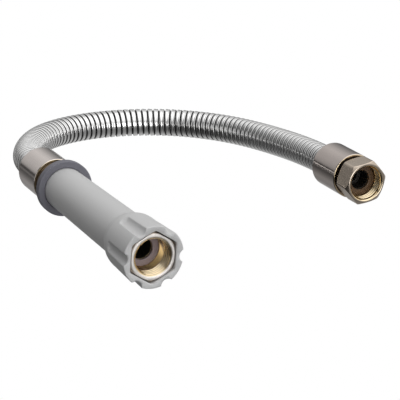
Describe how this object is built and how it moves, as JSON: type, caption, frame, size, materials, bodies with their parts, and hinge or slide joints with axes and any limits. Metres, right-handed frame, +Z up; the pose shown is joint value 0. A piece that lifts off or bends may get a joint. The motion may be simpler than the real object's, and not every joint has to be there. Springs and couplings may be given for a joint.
{
  "type": "armoured water hose with hand grip",
  "caption": "Flexible water hose in strip-wound steel armour, with crimped ferrules, a loose hex nut on the supply end and a spinning hand grip with a captive hex nut on the outlet end.",
  "frame": {"origin": "on the surface that the hose lies on, under the middle of the box round its two end fittings", "axes": "-Y points out of the supply nut; the grip lies in the same level plane, 1.4 degrees off -Y with its front towards the supply nut; +X from the grip to the supply nut; +Z up"},
  "size_m": [0.1819, 0.2546, 0.031],
  "materials": {
    "grip_plastic": "light grey satin moulded plastic",
    "ring_rubber": "smooth purple-grey rubber",
    "nylon": "natural nylon",
    "nickel_plate": "warm satin nickel plate on brass",
    "brass": "machined bare brass",
    "stainless_strip": "polished stainless strip",
    "washer_rubber": "black washer rubber",
    "braid_yarn": "woven reinforcing yarn",
    "liner_plastic": "smooth extruded liner"
  },
  "bodies": {
    "root": {"hose_armour": "stainless_strip", "liner_braid": "braid_yarn", "hose_liner": "liner_plastic", "handle_pipe": "brass", "pipe_nut": "brass", "pipe_washer": "washer_rubber", "outlet_ferrule": "nickel_plate", "outlet_stem": "brass", "outlet_crimp": "brass", "supply_ferrule": "nickel_plate", "supply_stem": "brass", "supply_crimp": "brass"},
    "coupling": {"coupling_nut": "nickel_plate", "coupling_washer": "washer_rubber"},
    "grip": {"grip_sleeve": "grip_plastic", "grip_ring": "ring_rubber", "grip_bush": "nylon"},
    "supply_swivel": {"supply_nut": "nickel_plate", "supply_washer": "washer_rubber"}
  },
  "joints": [
    {"name": "coupling_spin", "type": "hinge", "parent": "root", "child": "coupling", "pos_m": [-0.07294, -0.07616, 0.0155], "axis": [0.0244, -0.9997, 0], "continuous": true},
    {"name": "grip_slide", "type": "slide", "parent": "coupling", "child": "grip", "axis": [-0.0244, 0.9997, 0], "range_m": [0, 0.0075]},
    {"name": "supply_spin", "type": "hinge", "parent": "root", "child": "supply_swivel", "pos_m": [0.0784, -0.01316, 0.0128], "axis": [0, -1, 0], "continuous": true}
  ]
}
